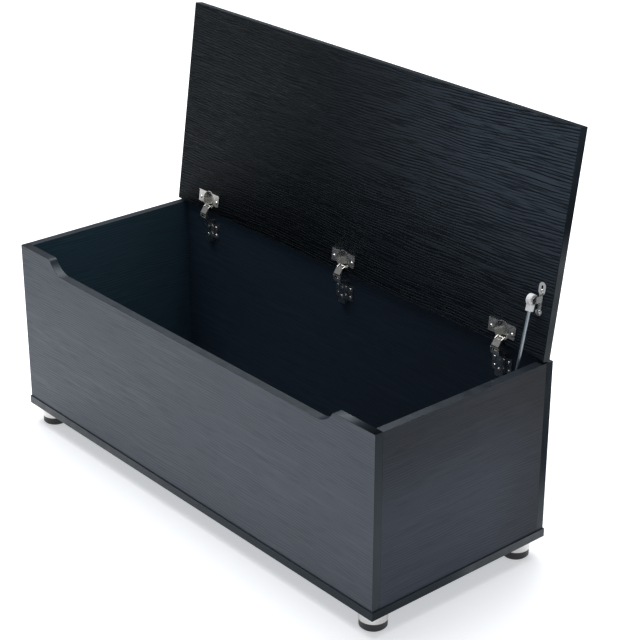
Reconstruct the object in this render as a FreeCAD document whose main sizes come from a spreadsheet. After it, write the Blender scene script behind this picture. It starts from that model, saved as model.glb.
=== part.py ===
"""Storage bench: a box on four feet, with a plain lid on three cup hinges and a gas strut.

Frame: origin on the floor under the middle of the object's own box, lid open. +X runs along the front to
the right-hand end, +Y to the back, +Z up. Millimetres and degrees.
"""

import FreeCAD, Part
import os
import re
import Sketcher

VECTOR = FreeCAD.Vector
X_AXIS = VECTOR(1, 0, 0)
Y_AXIS = VECTOR(0, 1, 0)
TOLERANCE = 0.01
NEAR_ZERO = 1e-9

# The driving dimensions. Hinge sizes are measured from the back panel's inner face (y) and the rim (z);
# lid sizes are measured in the lid's own plane, from the lower arris of its hinge edge. The overrun is how
# far a cutting tool passes the face it leaves by.
DIMENSIONS = {
    "board": 16,
    "edging": 0.8,
    "base_width": 1000,
    "base_depth": 400,
    "reveal": 2,
    "wall_height": 320,
    "foot_height": 37,
    "front_y": -222.54,
    "scoop_width": 800,
    "scoop_depth": 25,
    "scoop_radius": 45,
    "lip_radius": 8,
    "lid_depth": 395,
    "lid_angle": 81.85,
    "lid_corner_y": -8.75,
    "lid_corner_z": 4.7,
    "drill_gap": 0.1,
    "overrun": 1,
    "dowel_radius": 4,
    "dowel_length": 30,
    "dowel_sink": 11,
    "cam_radius": 7.4,
    "cam_height": 12.5,
    "cam_setback": 24,
    "bolt_radius": 2.5,
    "bolt_head_radius": 3.5,
    "bolt_head_height": 4,
    "bolt_head_start": 3,
    "bolt_offset": 110,
    "base_screw_radius": 2.5,
    "base_screw_length": 50,
    "base_head_height": 4,
    "base_screw_pitch": 400,
    "base_screw_side": 80,
    "foot_inset": 34,
    "foot_radius": 25,
    "sleeve_height": 21,
    "sleeve_wall": 1.2,
    "pad_radius": 24,
    "pad_boss_radius": 8,
    "pad_chamfer": 3,
    "foot_screw_radius": 2,
    "foot_screw_sink": 12,
    "foot_screw_seat": 12,
    "foot_head_radius": 5,
    "foot_head_height": 3,
    "foot_recess_radius": 6,
    "screw_radius": 1.9,
    "screw_length": 12,
    "screw_head_radius": 3.6,
    "screw_head_height": 1.6,
    "hinge_pitch": 400,
    "screw_spacing": 32,
    "plate_drop": 37,
    "plate_thickness": 2,
    "plate_width": 45,
    "plate_height": 30,
    "plate_corner": 4,
    "plate_rows": 16,
    "rib_width": 14,
    "rib_height": 4.5,
    "rib_top": 17,
    "rib_bottom": 56,
    "arm_width": 19,
    "arm_sheet": 1.2,
    "arm_top_y": 8.5,
    "arm_low": 58,
    "arm_shoulder": 22,
    "arm_screw_high": 28,
    "arm_screw_low": 45,
    "arm_screw_radius": 2,
    "arm_head_radius": 3.4,
    "arm_head_height": 1.5,
    "arm_screw_stop": 1,
    "arm_clear": 0.4,
    "arm_lap": 1,
    "pin_radius": 1.1,
    "pin_gap": 0.05,
    "inner_pivot_y": -15.84,
    "inner_pivot_z": -9.45,
    "outer_pivot_y": -19.5,
    "outer_pivot_z": -1.0,
    "eye_radius": 2.3,
    "inner_width": 10,
    "outer_width": 15.8,
    "cup_setback": 22.5,
    "cup_radius": 17.5,
    "cup_depth": 11,
    "cup_wall": 1.2,
    "flange_width": 61,
    "flange_near": 14,
    "flange_far": 38,
    "flange_sheet": 1,
    "flange_lip": 2.2,
    "flange_lip_width": 1.5,
    "cup_screw_spacing": 48,
    "cup_screw_setback": 22.5,
    "cup_pin_setback": 9.5,
    "cup_pin_depth": 2,
    "ear_sheet": 1.1,
    "ear_inner": 5.3,
    "ear_lead": 1.9,
    "ear_depth": 4.4,
    "ear_sink": 0.1,
    "ear_rise": 0.2,
    "hook_setback": 11.5,
    "hook_depth": 2.6,
    "hook_radius": 1.5,
    "strut_x": 463.5,
    "ball_setback": 100,
    "ball_height": 12.5,
    "ball_radius": 4,
    "ball_gap": 0.3,
    "stud_radius": 2.5,
    "stud_mouth_gap": 0.9,
    "collar_radius": 4,
    "collar_height": 0.6,
    "strut_length": 308,
    "strut_lean": 12.5,
    "socket_radius": 9.5,
    "socket_half": 4.5,
    "neck_radius": 7,
    "neck_start": 8,
    "neck_length": 19,
    "rod_radius": 3,
    "tube_radius": 7.5,
    "tube_wall": 1.1,
    "tube_top": 150,
    "gland_height": 7,
    "gland_lip": 1.5,
    "piston_height": 5,
    "piston_gap": 1,
    "lower_collar_height": 2,
    "bracket_width": 12,
    "bracket_length": 56,
    "bracket_sheet": 2,
    "bracket_pitch": 40,
    "bracket_gap": 0.3,
    "lid_tab_x": 469,
    "lid_eye_x": 473,
    "eye_small": 6.5,
    "eye_large": 7.2,
    "waist": 8,
    "slot_reach": 4,
}

DOC = FreeCAD.newDocument("storage_bench")
SUB_PARTS = {}


def make_sheet():
    sheet = DOC.addObject("Spreadsheet::Sheet", "dim")
    for row, (alias, value) in enumerate(DIMENSIONS.items(), start=1):
        sheet.set(f"A{row}", alias)
        sheet.set(f"B{row}", str(value))
        sheet.setAlias(f"B{row}", alias)
    DOC.recompute()


def bound(text):
    """An expression in which each driving dimension's name points at its cell."""
    def point_at_cell(word):
        name = word.group(0)
        return "dim." + name if name in DIMENSIONS else name

    return re.sub(r"[a-z_]+", point_at_cell, str(text))


def value(text):
    """The same expression worked out as a number."""
    result = DOC.getObject("dim").evalExpression(bound(text))
    return float(getattr(result, "Value", result))


def place(item, at, along="z"):
    """Bind an object's position, and turn its own Z axis to lie along the axis named."""
    turns = {"z": (X_AXIS, 0), "-z": (X_AXIS, 180), "x": (Y_AXIS, 90), "-x": (Y_AXIS, -90),
             "y": (X_AXIS, -90), "-y": (X_AXIS, 90)}
    axis, angle = turns[along]
    item.Placement = FreeCAD.Placement(VECTOR(), FreeCAD.Rotation(axis, angle))
    for letter, text in zip("xyz", at):
        item.setExpression(f".Placement.Base.{letter}", bound(text))
    return item


def box(at, size):
    """A box from its lowest corner."""
    item = DOC.addObject("Part::Box", "box")
    for name, text in zip(("Length", "Width", "Height"), size):
        item.setExpression(name, bound(text))
    return place(item, at)


def rod(at, radius, length, along="z"):
    item = DOC.addObject("Part::Cylinder", "rod")
    item.setExpression("Radius", bound(radius))
    item.setExpression("Height", bound(length))
    return place(item, at, along)


def cone(at, radius, end_radius, length, along="z"):
    item = DOC.addObject("Part::Cone", "cone")
    item.setExpression("Radius1", bound(radius))
    item.setExpression("Radius2", bound(end_radius))
    item.setExpression("Height", bound(length))
    return place(item, at, along)


def ball(at, radius):
    """A ball whose poles lie along X, the way its stud points."""
    item = DOC.addObject("Part::Sphere", "ball")
    item.setExpression("Radius", bound(radius))
    return place(item, at, "x")


def fuse(*items):
    if len(items) == 1:
        return items[0]
    joined = DOC.addObject("Part::MultiFuse", "fuse")
    joined.Shapes = list(items)
    return joined


def cut(item, *tools):
    if not tools:
        return item
    result = DOC.addObject("Part::Cut", "cut")
    result.Base = item
    result.Tool = fuse(*tools)
    return result


def group(items):
    """Solids kept apart in one sub-part, with a placement of their own."""
    compound = DOC.addObject("Part::Compound", "group")
    compound.Links = list(items)
    return compound


def sub_part(name, item):
    item.Label = name
    SUB_PARTS[name] = item
    return item


def on_lid(item):
    """Carry a piece drawn in the lid's plane (y from the hinge edge, z out of the underside) to the lid."""
    item.Placement = FreeCAD.Placement(VECTOR(), FreeCAD.Rotation(X_AXIS, 1))
    item.setExpression(".Placement.Rotation.Angle", bound("lid_angle"))
    item.setExpression(".Placement.Base.y", bound(f"{BACK_FACE} + lid_corner_y"))
    item.setExpression(".Placement.Base.z", bound(f"{RIM} + lid_corner_z"))
    return item


def on_strut(item):
    """Carry a piece drawn along the strut (z from the lower ball up to the upper one) to its place."""
    ball_y, ball_z = lid_point("ball_setback", "ball_height")
    reach_y = "strut_length*sin(strut_lean)"
    reach_z = "strut_length*cos(strut_lean)"
    item.Placement = FreeCAD.Placement(VECTOR(), FreeCAD.Rotation(X_AXIS, -1))
    item.setExpression(".Placement.Rotation.Angle", bound("-strut_lean"))
    item.setExpression(".Placement.Base.x", bound("strut_x"))
    item.setExpression(".Placement.Base.y", bound(f"{ball_y} - {reach_y}"))
    item.setExpression(".Placement.Base.z", bound(f"{ball_z} - {reach_z}"))
    return item


def lid_point(setback, height):
    """Where a point of the lid's plane lies, as expressions for y and z."""
    y = f"({BACK_FACE} + lid_corner_y + {setback}*cos(lid_angle) - {height}*sin(lid_angle))"
    z = f"({RIM} + lid_corner_z + {setback}*sin(lid_angle) + {height}*cos(lid_angle))"
    return y, z


# Levels and faces that many pieces share.
FLOOR_OF_BOX = "(foot_height + board)"
RIM = "(foot_height + board + wall_height)"
LEFT = "(reveal - base_width/2)"
WALL_LENGTH = "(base_width - 2*reveal)"
FRONT = "(front_y + reveal)"
FRONT_FACE = "(front_y + reveal + board)"
BACK_FACE = "(front_y + base_depth - reveal - board)"
SIDE_DEPTH = "(base_depth - 2*reveal - 2*board)"


def new_body(name):
    return DOC.addObject("PartDesign::Body", name)


def plane_of(body, role):
    return next(item for item in body.Origin.OriginFeatures if item.Role == role)


def outline(body, role, points):
    """A closed polygon in a plane of the body, each corner bound to a pair of expressions."""
    sketch = body.newObject("Sketcher::SketchObject", "outline")
    sketch.AttachmentSupport = [(plane_of(body, role), "")]
    sketch.MapMode = "FlatFace"
    corners = [VECTOR(value(across), value(up), 0) for across, up in points]
    for start, end in zip(corners, corners[1:] + corners[:1]):
        sketch.addGeometry(Part.LineSegment(start, end), False)
    for line in range(len(corners)):
        following = (line + 1) % len(corners)
        sketch.addConstraint(Sketcher.Constraint("Coincident", line, 2, following, 1))
    for line, (corner, texts) in enumerate(zip(corners, points)):
        for kind, size, text in zip(("DistanceX", "DistanceY"), corner, texts):
            bind_distance(sketch, kind, line, size, text)
    return sketch


def bind_distance(sketch, kind, line, size, text):
    """Bind a corner's distance from the sketch's origin, counted from whichever of the two is lower."""
    if abs(size) < NEAR_ZERO:
        on_axis = -2 if kind == "DistanceX" else -1
        sketch.addConstraint(Sketcher.Constraint("PointOnObject", line, 1, on_axis))
        return
    ends = (-1, 1, line, 1) if size > 0 else (line, 1, -1, 1)
    index = sketch.addConstraint(Sketcher.Constraint(kind, *ends, abs(size)))
    sketch.setExpression(f"Constraints[{index}]", bound(text if size > 0 else f"-({text})"))


def turned(body, points):
    """A solid of revolution about Z from half its section, given as (radius, height) corners."""
    sketch = outline(body, "XZ_Plane", points)
    feature = body.newObject("PartDesign::Revolution", "turning")
    feature.Profile = sketch
    feature.ReferenceAxis = (sketch, ["V_Axis"])
    feature.Angle = 360
    body.Tip = feature
    return feature


def lift(body, at):
    """Bind where a body's own origin lies."""
    for letter, text in zip("xyz", at):
        body.setExpression(f".Placement.Base.{letter}", bound(text))
    return body


# ---- the carcass boards -----------------------------------------------------------------------------


def scooped_board(inset):
    """The front's outline, drawn in by an inset all round, with the hand scoop cut from its top edge."""
    board = box((f"{LEFT} + {inset}", FRONT, FLOOR_OF_BOX),
                (f"{WALL_LENGTH} - 2*{inset}", "board", f"wall_height - {inset}"))
    flat = "(scoop_width/2 - sqrt(scoop_radius^2 - (scoop_radius - scoop_depth)^2))"
    low = f"({RIM} - scoop_depth - {inset})"
    radius = f"(scoop_radius + {inset})"
    start, length = f"{FRONT} - overrun", "board + 2*overrun"
    trough = box((f"-{flat}", start, low), (f"2*{flat}", length, f"2*{radius}"))
    ends = [rod((f"{side}*{flat}", start, f"{low} + {radius}"), radius, length, "y") for side in (-1, 1)]
    return rounded_lips(cut(board, trough, *ends), inset)


def rounded_lips(board, inset):
    """Soften the two sharp corners where the scoop leaves the top edge."""
    DOC.recompute()
    half = value("scoop_width/2")
    top = value(f"{RIM} - {inset}")
    radius = value(f"lip_radius - {inset}")
    lips = []
    for index, edge in enumerate(board.Shape.Edges, start=1):
        middle = edge.BoundBox.Center
        square_to_face = edge.BoundBox.XLength < TOLERANCE
        if square_to_face and abs(middle.z - top) < TOLERANCE and abs(abs(middle.x) - half) < radius:
            lips.append((index, radius, radius))
    if len(lips) != 2:
        raise RuntimeError(f"expected two lips, found {len(lips)}")
    fillet = DOC.addObject("Part::Fillet", "lips")
    fillet.Base = board
    fillet.Edges = lips
    return fillet


SIDES = (("left", -1), ("right", 1))
ENDS = (("front", FRONT_FACE, "-y", "y"), ("back", BACK_FACE, "y", "-y"))


def side_middle(side):
    """The middle plane of a side panel's board."""
    return f"{side}*(base_width/2 - reveal - board/2)"


def dowels(radius, gap):
    """One wooden dowel across each corner joint, half way up."""
    height = f"{FLOOR_OF_BOX} + wall_height/2"
    length = f"dowel_length + 2*{gap}"
    items = []
    for _, side in SIDES:
        for _, face, outwards, inwards in ENDS:
            sign = 1 if outwards == "y" else -1
            start = f"{face} + {sign}*(dowel_sink + {gap})"
            items.append(rod((side_middle(side), start, height), radius, length, inwards))
    return items


def bolt_heights():
    return f"{FLOOR_OF_BOX} + bolt_offset/2", f"{FLOOR_OF_BOX} + wall_height - bolt_offset/2"


def cam_bolts(gap):
    """Connecting bolts: screwed into the front and back, their heads caught by the cams in the sides."""
    items = []
    for _, side in SIDES:
        for _, face, outwards, inwards in ENDS:
            sign = 1 if outwards == "y" else -1
            for height in bolt_heights():
                at = (side_middle(side), f"{face} + {sign}*(dowel_sink + {gap})", height)
                shank = rod(at, f"bolt_radius + {gap}", f"dowel_sink + cam_setback + 2*{gap}", inwards)
                tip = (side_middle(side), f"{face} - {sign}*(cam_setback - bolt_head_start)", height)
                head = rod(tip, f"bolt_head_radius + {gap}", f"bolt_head_height + {gap}", inwards)
                items.append(fuse(shank, head))
    return items


def cam_discs(radius, height_text):
    """Cam discs let into the sides' inner faces over the ends of the bolts."""
    items = []
    for _, side in SIDES:
        into = "-x" if side < 0 else "x"
        inner_face = f"{side}*(base_width/2 - reveal - board)"
        for _, face, outwards, _ in ENDS:
            sign = 1 if outwards == "y" else -1
            for height in bolt_heights():
                at = (inner_face, f"{face} - {sign}*cam_setback", height)
                items.append(rod(at, radius, height_text, into))
    return items


def base_screws(gap, sink):
    """Countersunk screws from below the base into the lower edges of the four walls."""
    spots = []
    for row in (f"{FRONT} + board/2", f"{BACK_FACE} + board/2"):
        spots += [(f"{step}*base_screw_pitch", row) for step in (-1, 0, 1)]
    middle = "front_y + base_depth/2"
    for _, side in SIDES:
        spots += [(side_middle(side), f"{middle} + {step}*base_screw_side") for step in (-1, 1)]
    items = []
    for across, row in spots:
        start = (across, row, f"foot_height - {gap}*{sink}")
        shank = rod(start, f"base_screw_radius + {gap}", f"base_screw_length + 2*{gap}")
        head = cone(start, f"2*base_screw_radius + {gap}", f"base_screw_radius + {gap}",
                    "base_head_height")
        items.append(fuse(shank, head))
    return items


def foot_centres():
    spots = []
    for end, row in (("front", "front_y + foot_inset"), ("back", "front_y + base_depth - foot_inset")):
        for name, side in SIDES:
            spots.append((f"{end}_{name}", f"{side}*(base_width/2 - foot_inset)", row))
    return spots


def foot_screws(gap):
    items = []
    for _, across, row in foot_centres():
        shank = rod((across, row, "foot_screw_seat"), f"foot_screw_radius + {gap}",
                    f"foot_height - foot_screw_seat + foot_screw_sink + {gap}")
        head = rod((across, row, "foot_screw_seat - foot_head_height"), "foot_head_radius",
                   "foot_head_height")
        items.append(fuse(shank, head))
    return items


def hinge_places():
    return [(name, f"({step}*hinge_pitch)") for step, name in ((-1, "left"), (0, "middle"), (1, "right"))]


def plate_screws(gap):
    """Screws that hold each mounting plate to the back panel."""
    return [wood_screw(spot, "y", gap) for _, across in hinge_places() for spot in plate_spots(across)]


def plate_spots(across):
    """Where a mounting plate's four screws meet its face."""
    return [(f"{across} + {side}*screw_spacing/2", f"{BACK_FACE} - plate_thickness",
             f"{PLATE_LEVEL} + {row}*plate_rows/2") for side in (-1, 1) for row in (-1, 1)]


def wood_screw(at, along, gap):
    """A domed screw whose head stands on the face at the point given."""
    x, y, z = at
    shank = rod(at, f"screw_radius + {gap}", f"screw_length + {gap}", along)
    if gap != "0":
        return shank
    if along == "y":
        back = (x, f"{y} - screw_head_height", z)
    else:
        back = (x, y, f"{z} + screw_head_height")
    head = cone(back, "0.7*screw_head_radius", "screw_head_radius", "screw_head_height", along)
    return cut(fuse(shank, head), *cross_recess(back, along))


def cross_recess(at, along):
    """The two crossed slots that a driver turns."""
    x, y, z = at
    long, thin, deep = "1.1*screw_head_radius", "0.22*screw_head_radius", "0.6*screw_head_height"
    slots = []
    for first, second in ((long, thin), (thin, long)):
        if along == "y":
            slots.append(box((f"{x} - {first}/2", y, f"{z} - {second}/2"), (first, deep, second)))
        else:
            low = f"{z} - {deep}"
            slots.append(box((f"{x} - {first}/2", f"{y} - {second}/2", low), (first, second, deep)))
    return slots


def base_board():
    """The base board, its edging, and the holes for its screws."""
    inner = ("base_width - 2*edging", "base_depth - 2*edging", "board")
    corner = ("edging - base_width/2", "front_y + edging", "foot_height")
    whole = box(("-base_width/2", "front_y", "foot_height"), ("base_width", "base_depth", "board"))
    tools = base_screws("drill_gap", 1) + foot_screws("drill_gap")
    sub_part("base_panel", cut(box(corner, inner), *tools))
    sub_part("base_edging", cut(whole, box(corner, inner)))


def front_board():
    sub_part("front_edging", cut(scooped_board("0"), scooped_board("edging")))
    tools = dowels("dowel_radius + drill_gap", "drill_gap") + cam_bolts("drill_gap")
    tools += base_screws("drill_gap", 1)
    sub_part("front_panel", cut(scooped_board("edging"), *tools))


def back_board():
    size = (WALL_LENGTH, "board", "wall_height")
    core_at = (f"{LEFT} + edging", BACK_FACE, FLOOR_OF_BOX)
    core_size = (f"{WALL_LENGTH} - 2*edging", "board", "wall_height - edging")
    tools = dowels("dowel_radius + drill_gap", "drill_gap") + cam_bolts("drill_gap")
    tools += base_screws("drill_gap", 1) + plate_screws("drill_gap")
    sub_part("back_edging", cut(box((LEFT, BACK_FACE, FLOOR_OF_BOX), size), box(core_at, core_size)))
    sub_part("back_panel", cut(box(core_at, core_size), *tools))


def side_boards():
    for name, side in SIDES:
        corner = LEFT if side < 0 else f"-{LEFT} - board"
        core = box((corner, FRONT_FACE, FLOOR_OF_BOX), ("board", SIDE_DEPTH, "wall_height - edging"))
        strip = box((corner, FRONT_FACE, f"{RIM} - edging"), ("board", SIDE_DEPTH, "edging"))
        tools = dowels("dowel_radius + drill_gap", "drill_gap") + cam_bolts("drill_gap")
        tools += cam_discs("cam_radius + drill_gap", "cam_height + drill_gap")
        tools += base_screws("drill_gap", 1)
        if side > 0:
            tools += wall_screws("drill_gap")
        sub_part(f"{name}_side_panel", cut(core, *tools))
        sub_part(f"{name}_side_edging", strip)


def hidden_fasteners():
    sub_part("corner_dowels", group(dowels("dowel_radius", "0")))
    sub_part("cam_bolts", group(cam_bolts("0")))
    recess = fuse(*cam_bolts("4*drill_gap"))
    discs = cam_discs("cam_radius", "cam_height")
    sub_part("cam_discs", group([cut(disc, recess) for disc in discs]))
    sub_part("base_screws", group(base_screws("0", 0)))


def feet():
    for name, across, row in foot_centres():
        pad_body = new_body("foot_pad")
        turned(pad_body, [("foot_recess_radius", "0"), ("pad_radius - pad_chamfer", "0"),
                          ("pad_radius", "pad_chamfer"), ("pad_radius", "foot_height - sleeve_height"),
                          ("pad_boss_radius", "foot_height - sleeve_height"),
                          ("pad_boss_radius", "foot_height"),
                          ("foot_screw_radius + drill_gap", "foot_height"),
                          ("foot_screw_radius + drill_gap", "foot_screw_seat"),
                          ("foot_recess_radius", "foot_screw_seat")])
        sub_part(f"foot_pad_{name}", lift(pad_body, (across, row, "0")))
        sleeve = new_body("foot_sleeve")
        inner = "foot_radius - sleeve_wall"
        bore = "pad_boss_radius + drill_gap"
        turned(sleeve, [(inner, "foot_height - sleeve_height"),
                        ("foot_radius", "foot_height - sleeve_height"),
                        ("foot_radius", "foot_height"), (bore, "foot_height"),
                        (bore, "foot_height - sleeve_wall"), (inner, "foot_height - sleeve_wall")])
        sub_part(f"foot_sleeve_{name}", lift(sleeve, (across, row, "0")))
    sub_part("foot_screws", group(foot_screws("0")))


# ---- the hinges -------------------------------------------------------------------------------------

PLATE_LEVEL = f"({RIM} - plate_drop)"


def mounting_plate(across):
    """A plate with rounded corners and four screw holes, and a rib that the arm clips over."""
    front = f"{BACK_FACE} - plate_thickness"
    size = ("plate_width", "plate_height")
    reach = [f"({length}/2 - plate_corner)" for length in size]
    slabs = []
    for wide, tall in ((f"{size[0]}/2", reach[1]), (reach[0], f"{size[1]}/2")):
        slabs.append(box((f"{across} - {wide}", front, f"{PLATE_LEVEL} - {tall}"),
                         (f"2*{wide}", "plate_thickness", f"2*{tall}")))
    corners = [rod((f"{across} + {side}*{reach[0]}", front, f"{PLATE_LEVEL} + {row}*{reach[1]}"),
                   "plate_corner", "plate_thickness", "y") for side in (-1, 1) for row in (-1, 1)]
    rib = box((f"{across} - rib_width/2", f"{BACK_FACE} - rib_height", f"{RIM} - rib_bottom"),
              ("rib_width", "rib_height", "rib_bottom - rib_top"))
    holes = [rod((x, f"{y} - overrun", z), "screw_radius + drill_gap",
                 "plate_thickness + 2*overrun", "y") for x, y, z in plate_spots(across)]
    return cut(fuse(*slabs, *corners, rib), *holes, *arm_screws(across, "drill_gap"))


def arm_screws(across, gap):
    """The fixing screw and the depth screw that go through the arm's web into the rib."""
    items = []
    for drop in ("arm_screw_high", "arm_screw_low"):
        start = (across, f"{BACK_FACE} - arm_top_y", f"{RIM} - {drop}")
        shank = rod(start, f"arm_screw_radius + {gap}", f"arm_top_y - arm_screw_stop + {gap}", "y")
        if gap != "0":
            items.append(shank)
            continue
        face = (across, f"{BACK_FACE} - arm_top_y - arm_head_height", f"{RIM} - {drop}")
        head = cone(face, "0.8*arm_head_radius", "arm_head_radius", "arm_head_height", "y")
        items.append(cut(fuse(shank, head), *cross_recess(face, "y")))
    return items


def hinge_pivot(kind):
    """A fixed pivot's y and z, for kind inner or outer."""
    return f"({BACK_FACE} + {kind}_pivot_y)", f"({RIM} + {kind}_pivot_z)"


def cross_pin(across, at, radius, width):
    """A pin or hole along X, centred on the hinge."""
    return rod((f"{across} - ({width})/2", *at), radius, width, "x")


def near(kind, dy, dz):
    """A corner given from a fixed pivot, in the hinge's own plane."""
    return f"{kind}_pivot_y + {dy}", f"{kind}_pivot_z + {dz}"


def lid_corner(setback, height):
    """A corner given in the open lid's plane, in the hinge's own plane."""
    return (f"lid_corner_y + {setback}*cos(lid_angle) - {height}*sin(lid_angle)",
            f"lid_corner_z + {setback}*sin(lid_angle) + {height}*cos(lid_angle)")


def side_profile(name, across, points, width):
    """A plate of the given width, cut to an outline in the hinge's own plane."""
    body = new_body(name)
    feature = body.newObject("PartDesign::Pad", "pad")
    feature.Profile = outline(body, "YZ_Plane", points)
    feature.setExpression("Length", bound(width))
    feature.Midplane = True
    body.Tip = feature
    return lift(body, (across, BACK_FACE, RIM))


def hinge_arm(across):
    """A folded channel over the rib, whose cheeks reach up and forward to the two fixed pivots."""
    low, shoulder = "-arm_low", "-arm_shoulder"
    underside, top = "-plate_thickness - arm_clear", "-arm_top_y"
    arm = side_profile("arm", across, [
        (underside, low), (top, low), (top, shoulder), near("inner", -3.4, -3.5), near("outer", -2.3, -1),
        near("outer", -1.6, 1.7), near("outer", 1.6, 1.7), near("inner", 2.6, 0.9),
        near("inner", 6.8, -4.5), (underside, "-rib_top + arm_lap")], "arm_width")
    inside = f"{top} + arm_sheet"
    channel = side_profile("channel", across, [
        ("0", f"{low} - overrun"), (inside, f"{low} - overrun"), (inside, f"{shoulder} - 0.5"),
        near("inner", -2.2, -4), near("inner", -4.1, 2.4), near("outer", -6, -6), near("outer", -6, 4),
        ("0", "outer_pivot_z + 4")], "arm_width - 2*arm_sheet")
    holes = [cross_pin(across, hinge_pivot(kind), "pin_radius + pin_gap", "arm_width + 2*overrun")
             for kind in ("inner", "outer")]
    return cut(arm, channel, *holes, *arm_screws(across, "drill_gap"))


def inner_link(across):
    """The bar that carries the lid: an eye at each end and a neck bent round the cup's mouth."""
    cup_pin = lid_point("cup_pin_setback", "(-cup_pin_depth)")
    bar = side_profile("bar", across, [
        lid_corner(10.8, -2), lid_corner(10.3, 3.6), lid_corner(4.9, 5.2), near("inner", -1.2, 0.5),
        near("inner", 1.2, -0.5), lid_corner(4.2, 2.6), lid_corner(7.9, 1.8), lid_corner(8.2, -2)],
        "inner_width")
    eyes = [cross_pin(across, at, "eye_radius", "inner_width") for at in (hinge_pivot("inner"), cup_pin)]
    bores = [cross_pin(across, at, "pin_radius + pin_gap", "inner_width + 2*overrun")
             for at in (hinge_pivot("inner"), cup_pin)]
    return cut(fuse(bar, *eyes), *bores)


def outer_link(across):
    """The folded cover link: a flat face in front, and two cheeks that hook into the cup."""
    hook = lid_point("hook_setback", "(-hook_depth)")
    cheeks = side_profile("cheeks", across, [
        lid_corner(-3.5, 12.2), lid_corner(8, 6.2), lid_corner(12.9, -1.3), lid_corner(12.9, -2.6),
        lid_corner(10.2, -2.6), lid_corner(10.2, 0.5), lid_corner(5, 3.6), near("outer", 2.3, -0.5),
        near("outer", -1.5, -1.8)], "outer_width")
    hollow = side_profile("hollow", across, [
        lid_corner(-6.7, 12.52), lid_corner(7.44, 5.14), lid_corner(9.5, 9), lid_corner(20, 0),
        lid_corner(14, -10), near("outer", 6, -8), near("outer", -8, -6), near("outer", -8, 6)],
        "outer_width - 2*arm_sheet")
    eyes = [cross_pin(across, hinge_pivot("outer"), "eye_radius", "outer_width"),
            cross_pin(across, hook, "hook_radius", "outer_width")]
    through = "outer_width + 2*overrun"
    bores = [cross_pin(across, hinge_pivot("outer"), "pin_radius + pin_gap", through),
             cross_pin(across, hook, "0.5*hook_radius", through)]
    return cut(fuse(cheeks, *eyes), hollow, *bores)


def hinge_cup(across):
    """A drawn cup let into the lid, its screw flange, and two ears that hold the cup's pin."""
    centre = (across, "cup_setback", "-cup_depth")
    shell = rod(centre, "cup_radius", "cup_depth")
    flange = box((f"{across} - flange_width/2", "flange_near", "0"),
                 ("flange_width", "flange_far - flange_near", "flange_sheet"))
    lip = box((f"{across} - flange_width/2", "flange_far - flange_lip_width", "0"),
              ("flange_width", "flange_lip_width", "flange_lip"))
    hollow = rod((across, "cup_setback", "cup_wall - cup_depth"), "cup_radius - cup_wall",
                 "cup_depth + flange_sheet")
    ears = [box((f"{across} + {start}", "cup_pin_setback - ear_lead", "cup_wall - cup_depth - ear_sink"),
                ("ear_sheet", "ear_depth", "cup_depth - cup_wall + ear_sink + ear_rise"))
            for start in ("ear_inner", "(-ear_inner - ear_sheet)")]
    bore = cross_pin(across, ("cup_pin_setback", "-cup_pin_depth"), "pin_radius", "3*ear_inner")
    screws = [rod((f"{across} + {side}*cup_screw_spacing/2", "cup_screw_setback", "-overrun"),
                  "screw_radius + drill_gap", "flange_sheet + 2*overrun") for side in (-1, 1)]
    return on_lid(cut(fuse(cut(fuse(shell, flange, lip), hollow), *ears), bore, *screws))


def cup_screws(gap):
    items = []
    for _, across in hinge_places():
        for side in (-1, 1):
            at = (f"{across} + {side}*cup_screw_spacing/2", "cup_screw_setback", "flange_sheet")
            items.append(wood_screw(at, "-z", gap))
    return items


def cup_bores():
    return [rod((across, "cup_setback", "-cup_depth - drill_gap"), "cup_radius + drill_gap",
                "cup_depth + overrun") for _, across in hinge_places()]


def hinges():
    for name, across in hinge_places():
        sub_part(f"hinge_plate_{name}", mounting_plate(across))
        sub_part(f"hinge_arm_{name}", hinge_arm(across))
        sub_part(f"hinge_inner_link_{name}", inner_link(across))
        sub_part(f"hinge_outer_link_{name}", outer_link(across))
        sub_part(f"hinge_cup_{name}", hinge_cup(across))
    arm_pins = [cross_pin(across, hinge_pivot(kind), "pin_radius", "arm_width")
                for _, across in hinge_places() for kind in ("inner", "outer")]
    cup_pins = [cross_pin(across, ("cup_pin_setback", "-cup_pin_depth"), "pin_radius",
                          "2*(ear_inner + ear_sheet)") for _, across in hinge_places()]
    fixing = [screw for _, across in hinge_places() for screw in arm_screws(across, "0")]
    sub_part("hinge_arm_pins", group(arm_pins))
    sub_part("hinge_cup_pins", on_lid(group(cup_pins)))
    sub_part("hinge_arm_screws", group(fixing))
    sub_part("hinge_plate_screws", group(plate_screws("0")))
    sub_part("hinge_cup_screws", on_lid(group(cup_screws("0"))))


def lid():
    """The lid board with three cup bores in its underside, and the edging round it."""
    whole = box((LEFT, "0", "-board"), (WALL_LENGTH, "lid_depth", "board"))
    corner = (f"{LEFT} + edging", "edging", "-board")
    size = (f"{WALL_LENGTH} - 2*edging", "lid_depth - 2*edging", "board")
    tools = cup_bores() + cup_screws("drill_gap") + lid_bracket_screws("drill_gap")
    sub_part("lid_panel", on_lid(cut(box(corner, size), *tools)))
    sub_part("lid_edging", on_lid(cut(whole, box(corner, size))))


# ---- the gas strut ----------------------------------------------------------------------------------

INNER_WALL = "(base_width/2 - reveal - board)"
LOW_EYE = "(ball_setback - bracket_pitch/2)"
HIGH_EYE = "(ball_setback + bracket_pitch/2)"


def lid_bracket_screws(gap):
    """One screw in the round eye and one at the foot of the slotted eye."""
    return [wood_screw(("lid_eye_x", setback, "bracket_sheet"), "-z", gap)
            for setback in (LOW_EYE, f"{HIGH_EYE} - slot_reach")]


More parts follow.
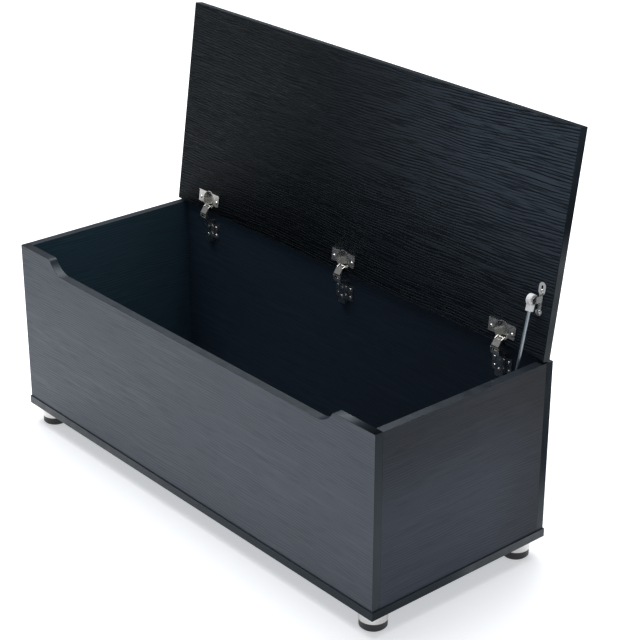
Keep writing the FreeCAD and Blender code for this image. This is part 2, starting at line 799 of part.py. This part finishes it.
def slotted(radius, foot, height):
    """A slot's or a slotted eye's outline, as solids."""
    ends = [rod(("lid_eye_x", f"{HIGH_EYE} + {side}*slot_reach", foot), radius, height)
            for side in (-1, 1)]
    middle = box((f"lid_eye_x - {radius}", f"{HIGH_EYE} - slot_reach", foot),
                 (f"2*{radius}", "2*slot_reach", height))
    return [*ends, middle]


def lid_bracket():
    """A strap on the lid's underside with a round and a slotted eye, and a tab for the ball stud."""
    strap = box(("lid_eye_x - waist/2", LOW_EYE, "0"), ("waist", "bracket_pitch", "bracket_sheet"))
    low_eye = rod(("lid_eye_x", LOW_EYE, "0"), "eye_small", "bracket_sheet")
    high_eye = slotted("eye_large", "0", "bracket_sheet")
    tab = box(("lid_tab_x", "ball_setback - bracket_width/2", "0"),
              ("bracket_sheet", "bracket_width", "ball_height"))
    tab_end = rod(("lid_tab_x", "ball_setback", "ball_height"), "bracket_width/2", "bracket_sheet", "x")
    radius = "(screw_radius + drill_gap)"
    through = "bracket_sheet + 2*overrun"
    hole = rod(("lid_eye_x", LOW_EYE, "-overrun"), radius, through)
    stud_hole = rod(("lid_tab_x - overrun", "ball_setback", "ball_height"), "stud_radius", through, "x")
    slot = slotted(radius, "-overrun", through)
    return on_lid(cut(fuse(strap, low_eye, *high_eye, tab, tab_end), hole, *slot, stud_hole))


def lid_ball():
    """The ball stud riveted through the lid bracket's tab."""
    centre = ("strut_x", "ball_setback", "ball_height")
    shank = rod(centre, "stud_radius", "lid_tab_x + bracket_sheet - strut_x", "x")
    collar = rod(("lid_tab_x - collar_height", "ball_setback", "ball_height"), "collar_radius",
                 "collar_height", "x")
    return on_lid(fuse(ball(centre, "ball_radius"), shank, collar))


def socket(centre, sign):
    """A moulded end fitting: a flat round head over the ball, and a neck on the side that sign gives."""
    head = rod(("-socket_half", "0", centre), "socket_radius", "2*socket_half", "x")
    along = "z" if sign > 0 else "-z"
    neck = rod(("0", "0", f"{centre} + {sign}*neck_start"), "neck_radius",
               "neck_length - neck_start", along)
    cavity = ball(("0", "0", centre), "ball_radius + ball_gap")
    mouth = rod(("0", "0", centre), "stud_radius + stud_mouth_gap", "socket_half + overrun", "x")
    thread = rod(("0", "0", f"{centre} + {sign}*neck_length/2"), "rod_radius + pin_gap",
                 "neck_length/2 + overrun", along)
    return cut(fuse(head, neck), cavity, mouth, thread)


def lower_ball():
    """The lower ball stud, whose collar stands just clear of the wall bracket."""
    reach = f"({INNER_WALL} - bracket_sheet - bracket_gap - strut_x)"
    shank = rod(("0", "0", "0"), "stud_radius", reach, "x")
    collar = rod((f"{reach} - lower_collar_height", "0", "0"), "2*stud_radius",
                 "lower_collar_height", "x")
    return fuse(ball(("0", "0", "0"), "ball_radius"), shank, collar)


def tube():
    """The pressure tube, closed below by a threaded end."""
    length = "(strut_length - tube_top - neck_length)"
    wall = rod(("0", "0", "neck_length"), "tube_radius", length)
    bore = rod(("0", "0", "neck_length + tube_wall"), "tube_radius - tube_wall", length)
    thread = rod(("0", "0", "neck_length/2"), "rod_radius", "neck_length/2 + tube_wall/2")
    return fuse(cut(wall, bore), thread)


def gland():
    """The ring that guides the rod and closes the tube."""
    top = "(strut_length - tube_top)"
    plug = rod(("0", "0", f"{top} - gland_height"), "tube_radius - tube_wall", "gland_height")
    lip = rod(("0", "0", top), "tube_radius", "gland_lip")
    bore = rod(("0", "0", f"{top} - gland_height - overrun"), "rod_radius + pin_gap",
               "gland_height + gland_lip + 2*overrun")
    return cut(fuse(plug, lip), bore)


FOOT_OF_ROD = "(strut_length - tube_top - gland_height - piston_height - piston_gap)"


def piston():
    disc = rod(("0", "0", FOOT_OF_ROD), "tube_radius - tube_wall - drill_gap", "piston_height")
    bore = rod(("0", "0", f"{FOOT_OF_ROD} - overrun"), "rod_radius", "piston_height + 2*overrun")
    return cut(disc, bore)


def wall_point():
    ball_y, ball_z = lid_point("ball_setback", "ball_height")
    return (f"{ball_y} - strut_length*sin(strut_lean)", f"{ball_z} - strut_length*cos(strut_lean)")


def wall_screws(gap):
    """Countersunk screws, flush with the wall bracket's face."""
    row, level = wall_point()
    items = []
    for side in (-1, 1):
        at = (f"{INNER_WALL} - bracket_sheet", row, f"{level} + {side}*bracket_pitch/2")
        shank = rod(at, f"screw_radius + {gap}", f"screw_length + {gap}", "x")
        head = cone(at, f"screw_head_radius + {gap}", f"screw_radius + {gap}", "bracket_sheet", "x")
        items.append(fuse(shank, head))
    return items


def wall_bracket():
    row, level = wall_point()
    corner = (f"{INNER_WALL} - bracket_sheet", f"{row} - bracket_width/2", f"{level} - bracket_length/2")
    plate = box(corner, ("bracket_sheet", "bracket_width", "bracket_length"))
    return cut(plate, *wall_screws("drill_gap"))


def strut():
    sub_part("strut_lid_bracket", lid_bracket())
    sub_part("strut_lid_ball", lid_ball())
    sub_part("strut_lid_screws", on_lid(group(lid_bracket_screws("0"))))
    sub_part("strut_upper_socket", on_strut(socket("strut_length", -1)))
    rod_length = f"strut_length - neck_length/2 - {FOOT_OF_ROD}"
    sub_part("strut_rod", on_strut(group([rod(("0", "0", FOOT_OF_ROD), "rod_radius", rod_length)])))
    sub_part("strut_piston", on_strut(piston()))
    sub_part("strut_gland", on_strut(gland()))
    sub_part("strut_tube", on_strut(tube()))
    sub_part("strut_lower_socket", on_strut(socket("0", 1)))
    sub_part("strut_lower_ball", on_strut(lower_ball()))
    sub_part("strut_wall_bracket", wall_bracket())
    sub_part("strut_wall_screws", group(wall_screws("0")))


def check_and_write():
    """Stop on any failed object, then write each sub-part to its own file."""
    DOC.recompute()
    for item in DOC.Objects:
        if "Invalid" in item.State or "Error" in item.State:
            raise RuntimeError(f"{item.Name} ({item.Label}) failed: {item.State}")
    os.makedirs("parts", exist_ok=True)
    whole = FreeCAD.BoundBox()
    for name, item in SUB_PARTS.items():
        shape = item.Shape
        if shape.isNull() or not shape.isValid() or not shape.Solids:
            raise RuntimeError(f"{name} is not a valid solid")
        whole.add(shape.BoundBox)
        shape.exportStep(os.path.join("parts", f"{name}.step"))
    print(f"{len(SUB_PARTS)} sub-parts, box {whole}")


make_sheet()
base_board()
front_board()
back_board()
side_boards()
hidden_fasteners()
feet()
lid()
hinges()
strut()
check_and_write()
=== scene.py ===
"""Looks of the storage bench: softened edge bands, wood-grain boards, plated fittings, and the stage."""

import bpy
import math
from mathutils import Euler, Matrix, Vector


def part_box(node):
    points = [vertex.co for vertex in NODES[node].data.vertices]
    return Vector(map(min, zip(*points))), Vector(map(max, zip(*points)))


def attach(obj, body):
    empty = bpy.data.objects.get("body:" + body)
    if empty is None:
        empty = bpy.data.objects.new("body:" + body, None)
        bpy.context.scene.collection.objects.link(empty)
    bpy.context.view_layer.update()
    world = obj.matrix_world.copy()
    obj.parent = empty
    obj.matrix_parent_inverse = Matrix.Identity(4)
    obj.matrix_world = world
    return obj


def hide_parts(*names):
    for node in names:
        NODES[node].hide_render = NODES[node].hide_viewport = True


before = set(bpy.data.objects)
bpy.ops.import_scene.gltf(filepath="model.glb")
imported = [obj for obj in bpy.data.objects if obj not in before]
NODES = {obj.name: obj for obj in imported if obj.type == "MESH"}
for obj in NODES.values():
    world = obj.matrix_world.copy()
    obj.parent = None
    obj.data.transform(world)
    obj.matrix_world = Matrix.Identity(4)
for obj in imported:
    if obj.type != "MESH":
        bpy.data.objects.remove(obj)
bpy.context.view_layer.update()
MM = 0.001
HALF_PI = math.pi / 2
# Which sockets of a mix node carry colours.
MIX_COLOUR_INPUTS = (6, 7)
MIX_COLOUR_OUTPUT = 2
SOCKETS = {"metallic": "Metallic", "roughness": "Roughness", "base": "Base Color",
           "gloss": "Specular IOR Level", "tint": "Specular Tint", "glow": "Emission Color"}

# ---- node helpers -----------------------------------------------------------------------------------


class Graph:
    """A material's node tree, with one call per kind of node."""

    def __init__(self, name):
        self.material = bpy.data.materials.new(name)
        self.material.use_nodes = True
        self.tree = self.material.node_tree
        self.shader = self.tree.nodes["Principled BSDF"]

    def node(self, kind, **settings):
        made = self.tree.nodes.new(kind)
        for key, setting in settings.items():
            setattr(made, key, setting)
        return made

    def link(self, source, target):
        self.tree.links.new(source, target)

    def feed(self, made, index, source):
        if isinstance(source, (int, float, tuple)):
            made.inputs[index].default_value = source
        else:
            self.link(source, made.inputs[index])

    def math(self, operation, first, second=0.0, clamp=False):
        made = self.node("ShaderNodeMath", operation=operation, use_clamp=clamp)
        self.feed(made, 0, first)
        self.feed(made, 1, second)
        return made.outputs[0]

    def combine(self, x, y, z):
        made = self.node("ShaderNodeCombineXYZ")
        for index, source in enumerate((x, y, z)):
            self.feed(made, index, source)
        return made.outputs[0]

    def noise(self, vector, scale=1.0, detail=2.0, roughness=0.5):
        made = self.node("ShaderNodeTexNoise")
        self.link(vector, made.inputs["Vector"])
        for key, setting in (("Scale", scale), ("Detail", detail), ("Roughness", roughness)):
            made.inputs[key].default_value = setting
        return made.outputs["Fac"]

    def ramp(self, source, low, high, out_low=0.0, out_high=1.0):
        made = self.node("ShaderNodeMapRange", interpolation_type="SMOOTHSTEP")
        self.link(source, made.inputs["Value"])
        settings = {"From Min": low, "From Max": high, "To Min": out_low, "To Max": out_high}
        for key, setting in settings.items():
            made.inputs[key].default_value = setting
        return made.outputs["Result"]

    def blend(self, factor, first, second):
        """Mix two colours, given as numbers or as outputs."""
        made = self.node("ShaderNodeMix", data_type="RGBA")
        self.link(factor, made.inputs[0])
        for index, source in zip(MIX_COLOUR_INPUTS, (first, second)):
            self.feed(made, index, (*source, 1) if isinstance(source, tuple) else source)
        return made.outputs[MIX_COLOUR_OUTPUT]

    def colour(self, factor, first, second):
        self.link(self.blend(factor, first, second), self.shader.inputs["Base Color"])

    def bump(self, height, distance):
        made = self.node("ShaderNodeBump")
        made.inputs["Distance"].default_value = distance
        made.inputs["Strength"].default_value = 1.0
        self.link(height, made.inputs["Height"])
        self.link(made.outputs["Normal"], self.shader.inputs["Normal"])

    def place(self):
        return self.node("ShaderNodeTexCoord").outputs["Object"]

    def set(self, **settings):
        """Set the shader's own sockets, each named in lower case with underscores."""
        for key, setting in settings.items():
            self.shader.inputs[SOCKETS[key]].default_value = setting


def stretched(graph, along, across, through, scales, offset=0.0):
    """Board coordinates scaled by different amounts along and across the grain."""
    shifted = graph.math("ADD", along, offset)
    return graph.combine(graph.math("MULTIPLY", shifted, scales[0]),
                         graph.math("MULTIPLY", across, scales[1]),
                         graph.math("MULTIPLY", through, scales[2]))


# Darkest and lightest tone of each kind of face. Every face is the same navy-black melamine; the lighter,
# darker and bluer copies for the outer sides, the insides and the left inside are painted light and shade,
# tuned to how each face is lit.
OUTER = ((0.020, 0.027, 0.041), (0.027, 0.036, 0.054))
SIDE = ((0.030, 0.036, 0.051), (0.039, 0.047, 0.066))
INNER = ((0.019, 0.030, 0.050), (0.034, 0.056, 0.088))
INNER_LEFT_LIT = ((0.032, 0.062, 0.086), (0.048, 0.094, 0.128))
# The lid's underside: real grain, with its dark tone pushed far below the other faces as painted shade and
# its light tone raised as a painted highlight on the grain's ridges.
LID_UNDER_HIGHLIT = ((0.0015, 0.003, 0.006), (0.066, 0.086, 0.112))
# What the painted shade on a board's far face darkens towards.
BLACK = (0.0, 0.0, 0.0)
RING = 4.9 * MM
EMBOSSING = 0.35 * MM
# How far the growth rings sway, in metres, and how far fine noise shifts their phase, in radians.
RING_SWAY = 0.07
RING_JITTER = 6.0
# Noise frequencies along, across and through the grain, per metre, and an offset from each board's seed.
SWAY_NOISE = (1.6, 3.5, 3.5), 0.0
JITTER_NOISE = (6.0, 30.0, 30.0), 3.1
BREAK_NOISE = (6.0, 110.0, 110.0), 5.2
PORE_NOISE = (16.0, 330.0, 330.0), 7.7
CLOUD_NOISE = (1.3, 5.0, 5.0), 12.0
PORE_DEPTH = 0.8
# The shares of the tone that the grain and the broad clouds take.
GRAIN_SHARE, CLOUD_SHARE = 0.75, 0.25
GROOVE_TO_FACE_ROUGHNESS = (0.52, 0.40)
# A drift or rise that adds no painted shade.
LEVEL = (0.0, 1.0, 1.0, 1.0)
METAL_CLOUD = 180.0
PLASTIC_GRIT = 1400.0


def melamine(name, seed, heart, relief, axes="xyz", tilt=0.0, faces=(OUTER, OUTER), split_at=0.0,
             gloss=0.5, tint=(0.84, 0.92, 1.0), drift=LEVEL, rise=LEVEL):
    """Black melamine with an embossed wood grain: rings cut on a slant, and pores that follow them.

    The face beyond split_at, measured through the board, takes the second pair of colours. That face
    carries painted shade: the share of its colour kept runs along the board, between the first two
    numbers of drift, from the third to the fourth, and across it by rise in the same way; the rest
    is darkened towards black.
    """
    graph = Graph(name)
    turn = graph.node("ShaderNodeMapping")
    turn.inputs["Rotation"].default_value = (-tilt, 0, 0)
    graph.link(graph.place(), turn.inputs["Vector"])
    split = graph.node("ShaderNodeSeparateXYZ")
    graph.link(turn.outputs[0], split.inputs[0])
    board = [split.outputs["xyz".index(letter)] for letter in axes]
    along, across, through = board
    middle, depth, slant = heart

    def grained(noise, detail):
        frequencies, offset = noise
        return graph.noise(stretched(graph, *board, frequencies, seed + offset), detail=detail)

    sway = grained(SWAY_NOISE, 3.0)
    side = graph.math("ADD", graph.math("SUBTRACT", across, middle),
                      graph.math("MULTIPLY", sway, RING_SWAY))
    cut = graph.math("ADD", graph.math("MULTIPLY", along, slant), depth)
    squares = [graph.math("MULTIPLY", length, length) for length in (side, cut)]
    radius = graph.math("SQRT", graph.math("ADD", *squares))
    phase = graph.math("ADD", graph.math("MULTIPLY", radius, 2 * math.pi / RING),
                       graph.math("MULTIPLY", grained(JITTER_NOISE, 3.0), RING_JITTER))
    ridge = graph.ramp(graph.math("SINE", phase), -0.3, 0.7)
    groove = graph.math("MULTIPLY", ridge, graph.ramp(grained(BREAK_NOISE, 2.0), 0.28, 0.5))
    pores = graph.ramp(grained(PORE_NOISE, 2.5), 0.50, 0.66)
    grain = graph.math("MAXIMUM", groove, graph.math("MULTIPLY", pores, PORE_DEPTH))
    smooth = graph.math("SUBTRACT", 1.0, grain)
    tone = graph.math("ADD", graph.math("MULTIPLY", smooth, GRAIN_SHARE),
                      graph.math("MULTIPLY", grained(CLOUD_NOISE, 1.0), CLOUD_SHARE), clamp=True)
    beyond = graph.math("GREATER_THAN", through, split_at)
    near, far = (graph.blend(tone, *pair) for pair in faces)
    # Painted shade: the far face is darkened towards black along and across the board, where less light
    # falls on it.
    painted_shade = graph.math("MULTIPLY", graph.ramp(along, *drift), graph.ramp(across, *rise))
    far_with_painted_shade = graph.blend(painted_shade, BLACK, far)
    graph.link(graph.blend(beyond, near, far_with_painted_shade), graph.shader.inputs["Base Color"])
    graph.link(graph.ramp(smooth, 0.0, 1.0, *GROOVE_TO_FACE_ROUGHNESS), graph.shader.inputs["Roughness"])
    graph.set(gloss=gloss, tint=(*tint, 1))
    graph.bump(smooth, EMBOSSING * relief)
    return graph.material


def band_finish(name, dark, light, gloss):
    """Smooth satin edging."""
    graph = Graph(name)
    place = graph.place()
    cloud = graph.noise(place, scale=45.0, detail=3.0)
    graph.colour(cloud, dark, light)
    graph.link(graph.ramp(cloud, 0.3, 0.7, 0.36, 0.46), graph.shader.inputs["Roughness"])
    graph.set(gloss=gloss, tint=(0.80, 0.92, 1.0, 1))
    graph.bump(graph.noise(place, scale=900.0, detail=2.0), 0.03 * MM)
    return graph.material


def metal(name, dark, light, rough, relief):
    """Plated or ground metal, clouded at one frequency and roughened at a finer one."""
    graph = Graph(name)
    graph.set(metallic=1.0)
    place = graph.place()
    cloud = graph.noise(place, scale=METAL_CLOUD, detail=4.0, roughness=0.6)
    graph.colour(cloud, dark, light)
    graph.link(graph.ramp(cloud, 0.3, 0.7, *rough), graph.shader.inputs["Roughness"])
    graph.bump(graph.noise(place, scale=12 * METAL_CLOUD, detail=2.0), relief * MM)
    return graph.material


def plastic(name, dark, light, rough, relief=0.05):
    """A moulded or painted surface with a fine grit."""
    graph = Graph(name)
    place = graph.place()
    graph.colour(graph.noise(place, scale=60.0, detail=3.0), dark, light)
    grit = graph.noise(place, scale=PLASTIC_GRIT, detail=2.0)
    graph.link(graph.ramp(grit, 0.3, 0.7, *rough), graph.shader.inputs["Roughness"])
    graph.bump(grit, relief * MM)
    return graph.material


def beech(name):
    """Pale turned wood, flecked along Y as the dowels lie."""
    graph = Graph(name)
    split = graph.node("ShaderNodeSeparateXYZ")
    graph.link(graph.place(), split.inputs[0])
    fleck = graph.noise(stretched(graph, split.outputs[1], split.outputs[0], split.outputs[2],
                                  (60.0, 900.0, 900.0)), detail=3.0)
    graph.colour(fleck, (0.42, 0.26, 0.14), (0.66, 0.47, 0.30))
    graph.set(roughness=0.6)
    graph.bump(fleck, 0.05 * MM)
    return graph.material


def dress(names, material):
    for name in names:
        mesh = NODES[name].data
        mesh.materials.clear()
        mesh.materials.append(material)


# ---- edge bands -------------------------------------------------------------------------------------

BOARD = 16 * MM
BAND = 0.8 * MM
ARRIS = 0.5 * MM
ARRIS_STEPS = 3
SCOOP_STEPS = 10
LIP_STEPS = 6
CREASE = math.radians(40)
LID_ANGLE = math.radians(81.85)
EDGE = band_finish("satin_edge_band", (0.008, 0.012, 0.017), (0.015, 0.021, 0.028), 0.3)
# The lid's band is the same edging as the rest, given half its colour as painted shade.
LID_EDGE_SHADED = band_finish("satin_lid_band_painted_shade", (0.004, 0.007, 0.010), (0.008, 0.012, 0.016), 0.1)


def inward(points, distance, closed):
    """The path moved to its left by a distance, with mitred corners."""
    count = len(points)
    moved = []
    for index, point in enumerate(points):
        normals = []
        for start, end in ((index - 1, index), (index, index + 1)):
            if closed or (start >= 0 and end < count):
                run = (points[end % count] - points[start % count]).normalized()
                normals.append(Vector((-run.y, run.x)))
        total = sum(normals, Vector((0, 0)))
        moved.append(point + total * (distance * len(normals) / total.length_squared))
    return moved


def band_section(thickness):
    """(inset, depth) corners round a band's section, its two outer arrises rounded."""
    corners = [(BAND, 0.0)]
    for middle_depth, start in ((ARRIS, 90), (thickness - ARRIS, 180)):
        for step in range(ARRIS_STEPS + 1):
            angle = math.radians(start + 90 * step / ARRIS_STEPS)
            corners.append((ARRIS + ARRIS * math.cos(angle), middle_depth - ARRIS * math.sin(angle)))
    corners.append((BAND, thickness))
    return corners


def edge_band(name, node, path, thickness, to_row, closed, body="root", finish=EDGE):
    """Sweep a band's section along the outline and let it stand for the CAD band."""
    section = band_section(thickness)
    rings = [inward(path, inset, closed) for inset, _ in section]
    count, sides = len(path), len(section)
    vertices = [to_row(*rings[side][at], section[side][1]) for at in range(count) for side in range(sides)]
    faces = []
    for at in range(count if closed else count - 1):
        here, there = at * sides, (at + 1) % count * sides
        for side in range(sides):
            following = (side + 1) % sides
            faces.append((here + side, here + following, there + following, there + side))
    if not closed:
        last = (count - 1) * sides
        faces += [tuple(range(sides)), tuple(range(last + sides - 1, last - 1, -1))]
    mesh = bpy.data.meshes.new(name)
    mesh.from_pydata(vertices, [], faces)
    mesh.validate()
    mesh.update()
    piece = bpy.data.objects.new(name, mesh)
    bpy.context.scene.collection.objects.link(piece)
    mesh.materials.append(finish)
    piece.modifiers.new("crease", "WEIGHTED_NORMAL")
    for face in mesh.polygons:
        face.use_smooth = True
    mesh.set_sharp_from_angle(angle=CREASE)
    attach(piece, body)
    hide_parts(node)


def rectangle(low_x, low_y, high_x, high_y):
    corners = ((low_x, low_y), (high_x, low_y), (high_x, high_y), (low_x, high_y))
    return [Vector(corner) for corner in corners]


def arc(centre, radius, start, end, steps):
    angles = [math.radians(start + (end - start) * step / steps) for step in range(steps + 1)]
    return [centre + radius * Vector((math.cos(angle), math.sin(angle))) for angle in angles]


def scooped_top(low, high):
    """The front board's sides and top edge, with the hand scoop and its rounded lips."""
    half, deep, radius, lip = 400 * MM, 25 * MM, 45 * MM, 8 * MM
    rim = high.z
    flat = half - math.sqrt(radius ** 2 - (radius - deep) ** 2)
    # The lip's arc touches the top edge and the scoop's arc from outside both.
    trough = Vector((flat, rim - deep + radius))
    drop = trough.y - (rim - lip)
    reach = math.sqrt((radius + lip) ** 2 - drop ** 2)
    lip_centre = Vector((flat + reach, rim - lip))
    meeting = math.degrees(math.atan2(lip_centre.y - trough.y, lip_centre.x - trough.x))
    right = arc(trough, radius, -90, meeting, SCOOP_STEPS)
    right += arc(lip_centre, lip, 180 + meeting, 90, LIP_STEPS)[1:]
    left = [Vector((-point.x, point.y)) for point in right]
    start = [Vector((high.x, low.z)), Vector((high.x, rim))]
    end = [Vector((low.x, rim)), Vector((low.x, low.z))]
    return start + right[::-1] + left + end


def whole_box(*names):
    boxes = [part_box(name) for name in names]
    low = Vector(min(box[0][axis] for box in boxes) for axis in range(3))
    high = Vector(max(box[1][axis] for box in boxes) for axis in range(3))
    return low, high


def bands():
    """One softened band for each board that has an edging."""
    low, high = whole_box("base_panel", "base_edging")
    edge_band("base_band", "base_edging", rectangle(low.x, low.y, high.x, high.y), high.z - low.z,
              lambda x, y, deep: (x, y, high.z - deep), True)
    low_f, high_f = whole_box("front_panel", "front_edging")
    edge_band("front_band", "front_edging", scooped_top(low_f, high_f), high_f.y - low_f.y,
              lambda x, z, deep: (x, low_f.y + deep, z), False)
    low_b, high_b = whole_box("back_panel", "back_edging")
    path = [Vector((high_b.x, low_b.z)), Vector((high_b.x, high_b.z)),
            Vector((low_b.x, high_b.z)), Vector((low_b.x, low_b.z))]
    edge_band("back_band", "back_edging", path, high_b.y - low_b.y,
              lambda x, z, deep: (x, low_b.y + deep, z), False)
    for name in ("left_side", "right_side"):
        low_s, high_s = whole_box(f"{name}_panel", f"{name}_edging")
        path = [Vector((high_s.y, high_s.z)), Vector((low_s.y, high_s.z))]
        edge_band(f"{name}_band", f"{name}_edging", path, high_s.x - low_s.x,
                  lambda y, z, deep, high_s=high_s: (high_s.x - deep, y, z), False)
    lid_band()


def lid_band():
    """The lid's band, drawn in the lid's plane from the lower arris of its hinge edge."""
    low, high = whole_box("lid_panel", "lid_edging")
    up = Vector((0, math.cos(LID_ANGLE), math.sin(LID_ANGLE)))
    out = Vector((0, -math.sin(LID_ANGLE), math.cos(LID_ANGLE)))
    rise = BOARD * abs(out.z)
    depth = (high.z - low.z - rise) / up.z
    corner = Vector((0, low.y, low.z + rise))
    edge_band("lid_band", "lid_edging", rectangle(low.x, 0, high.x, depth), BOARD,
              lambda x, u, deep: tuple(Vector((x, 0, 0)) + corner + up * u - out * deep),
              True, "lid", LID_EDGE_SHADED)


bands()

# ---- finishes ---------------------------------------------------------------------------------------

# The middle plane of each board, in the coordinate that runs through it.
LID_MIDDLE = sum(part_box("lid_panel"), Vector()) / 2
MID_LID = LID_MIDDLE.z * math.cos(LID_ANGLE) - LID_MIDDLE.y * math.sin(LID_ANGLE)
MID_FRONT = -sum(corner.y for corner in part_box("front_panel")) / 2
MID_BACK = -sum(corner.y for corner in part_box("back_panel")) / 2
MID_LEFT = sum(corner.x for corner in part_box("left_side_panel")) / 2
MID_RIGHT = sum(corner.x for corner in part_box("right_side_panel")) / 2
# Each board's grain; the drift and rise given for the lid, the back and the right side paint shade on their
# far faces.
BOARDS = {
    "lid": dict(tilt=LID_ANGLE, seed=2.0, heart=(0.96, 0.03, 0.13), relief=2.4, faces=(OUTER, LID_UNDER_HIGHLIT),
                split_at=MID_LID, gloss=0.12, tint=(0.55, 0.80, 1.0), drift=(-0.15, 0.40, 0.10, 0.72),
                rise=(0.42, 0.72, 0.42, 1.0)),
    "front": dict(tilt=HALF_PI, seed=9.0, heart=(-0.15, 0.09, 0.05), relief=0.12,
                  faces=(INNER, OUTER), split_at=MID_FRONT),
    "back": dict(tilt=HALF_PI, seed=14.0, heart=(0.6, 0.06, 0.09), relief=0.15,
                 faces=(OUTER, INNER), split_at=MID_BACK, drift=(-0.4, 0.4, 1.0, 0.65)),
    "left_side": dict(axes="yzx", seed=21.0, heart=(-0.2, 0.1, 0.05), relief=0.12,
                      faces=(SIDE, INNER_LEFT_LIT), split_at=MID_LEFT, gloss=0.15),
    "right_side": dict(axes="yzx", seed=26.0, heart=(-0.22, 0.1, 0.06), relief=0.12,
                       faces=(INNER, SIDE), split_at=MID_RIGHT, gloss=0.15,
                       drift=(0.0, 0.2, 1.0, 0.4), rise=(0.18, 0.36, 1.0, 0.35)),
    "base": dict(seed=31.0, heart=(0.0, 0.1, 0.06), relief=0.2),
}
for board, looks in BOARDS.items():
    grain_name = board.removesuffix("_side") + "_wood_grain"
    dress([f"{board}_panel"], melamine(grain_name, **looks))

LRM = ("left", "middle", "right")
nickel = metal("nickel_plate", (0.60, 0.59, 0.56), (0.80, 0.78, 0.74), (0.22, 0.32), relief=0.006)
zinc = metal("bright_zinc", (0.36, 0.37, 0.37), (0.56, 0.56, 0.55), (0.16, 0.28), relief=0.006)
chrome = metal("polished_chrome", (0.52, 0.52, 0.51), (0.70, 0.69, 0.66), (0.05, 0.12), relief=0.003)
steel = metal("ground_steel", (0.30, 0.34, 0.38), (0.42, 0.47, 0.52), (0.34, 0.42), relief=0.003)
HINGE_PIECES = ("plate", "arm", "inner_link", "outer_link", "cup")
dress([f"hinge_{part}_{name}" for part in HINGE_PIECES for name in LRM], nickel)
dress(["hinge_arm_pins", "hinge_cup_pins", "hinge_arm_screws", "hinge_plate_screws",
       "hinge_cup_screws"], nickel)
dress(["cam_bolts", "base_screws", "foot_screws"], zinc)
dress(["strut_piston", "strut_wall_bracket", "strut_wall_screws", "strut_lid_bracket",
       "strut_lid_ball", "strut_lid_screws", "strut_lower_ball"], zinc)
FEET = [f"{end}_{side}" for end in ("front", "back") for side in ("left", "right")]
dress([f"foot_sleeve_{foot}" for foot in FEET], chrome)
dress(["strut_rod"], steel)
dress([f"foot_pad_{foot}" for foot in FEET],
      plastic("black_moulded_plastic", (0.010, 0.010, 0.011), (0.022, 0.022, 0.024), (0.38, 0.55)))
dress(["cam_discs"], plastic("dark_blue_caps", (0.026, 0.050, 0.070), (0.040, 0.076, 0.104), (0.40, 0.50)))
dress(["strut_tube", "strut_gland"],
      plastic("satin_black_paint", (0.010, 0.010, 0.011), (0.018, 0.018, 0.020), (0.22, 0.34), relief=0.02))
dress(["strut_upper_socket", "strut_lower_socket"],
      plastic("white_nylon", (0.84, 0.85, 0.86), (0.93, 0.93, 0.93), (0.35, 0.48)))
dress(["corner_dowels"], beech("turned_beech"))

# ---- stage ------------------------------------------------------------------------------------------


def floor():
    mesh = bpy.data.meshes.new("studio_floor")
    reach = 30.0
    mesh.from_pydata([(-reach, -reach, 0), (reach, -reach, 0), (reach, reach, 0), (-reach, reach, 0)],
                     [], [(0, 1, 2, 3)])
    piece = bpy.data.objects.new("studio_floor", mesh)
    bpy.context.scene.collection.objects.link(piece)
    graph = Graph("pale_floor")
    graph.set(base=(0.86, 0.87, 0.89, 1), roughness=0.9, gloss=0.1, glow=(0.97, 0.985, 1.0, 1))
    # The floor glows more the further it lies from a point out in front.
    gap = graph.node("ShaderNodeVectorMath", operation="DISTANCE")
    graph.link(graph.place(), gap.inputs[0])
    gap.inputs[1].default_value = (-2.3, -2.5, 0)
    glow = graph.ramp(gap.outputs["Value"], 1.3, 2.6, 0.0, 0.5)
    graph.link(glow, graph.shader.inputs["Emission Strength"])
    mesh.materials.append(graph.material)


def softbox(at, towards, side, power):
    """A square soft light from above."""
    data = bpy.data.lights.new("overhead", "AREA")
    data.shape = "RECTANGLE"
    data.size = data.size_y = side
    data.energy = power
    lamp = bpy.data.objects.new("overhead", data)
    bpy.context.scene.collection.objects.link(lamp)
    lamp.location = at
    lamp.rotation_euler = (towards - at).to_track_quat("-Z", "Y").to_euler()
    lamp.visible_camera = False


def studio():
    world = bpy.data.worlds.new("studio")
    bpy.context.scene.world = world
    world.use_nodes = True
    background = world.node_tree.nodes["Background"]
    background.inputs["Color"].default_value = (0.93, 0.96, 1.0, 1)
    background.inputs["Strength"].default_value = 0.22
    softbox(Vector((-0.9, 0.7, 3.2)), Vector((-0.6, 0.5, 0)), 3.6, 190)


def camera():
    data = bpy.data.cameras.new("camera")
    eye = bpy.data.objects.new("camera", data)
    bpy.context.scene.collection.objects.link(eye)
    bpy.context.scene.camera = eye
    data.sensor_width = 36.0
    data.lens = 36.0 * 1792.7 / 640
    data.clip_end = 100.0
    azimuth, elevation, roll = math.radians(49.14), math.radians(24.72), math.radians(0.19)
    eye.location = (2.252, -1.8495, 1.666)
    ahead = Vector((-math.sin(azimuth) * math.cos(elevation), math.cos(azimuth) * math.cos(elevation),
                    -math.sin(elevation)))
    turn = ahead.to_track_quat("-Z", "Y").to_matrix() @ Euler((0, 0, roll)).to_matrix()
    eye.rotation_euler = turn.to_euler()


floor()
studio()
camera()
bpy.context.scene.view_settings.view_transform = "Standard"
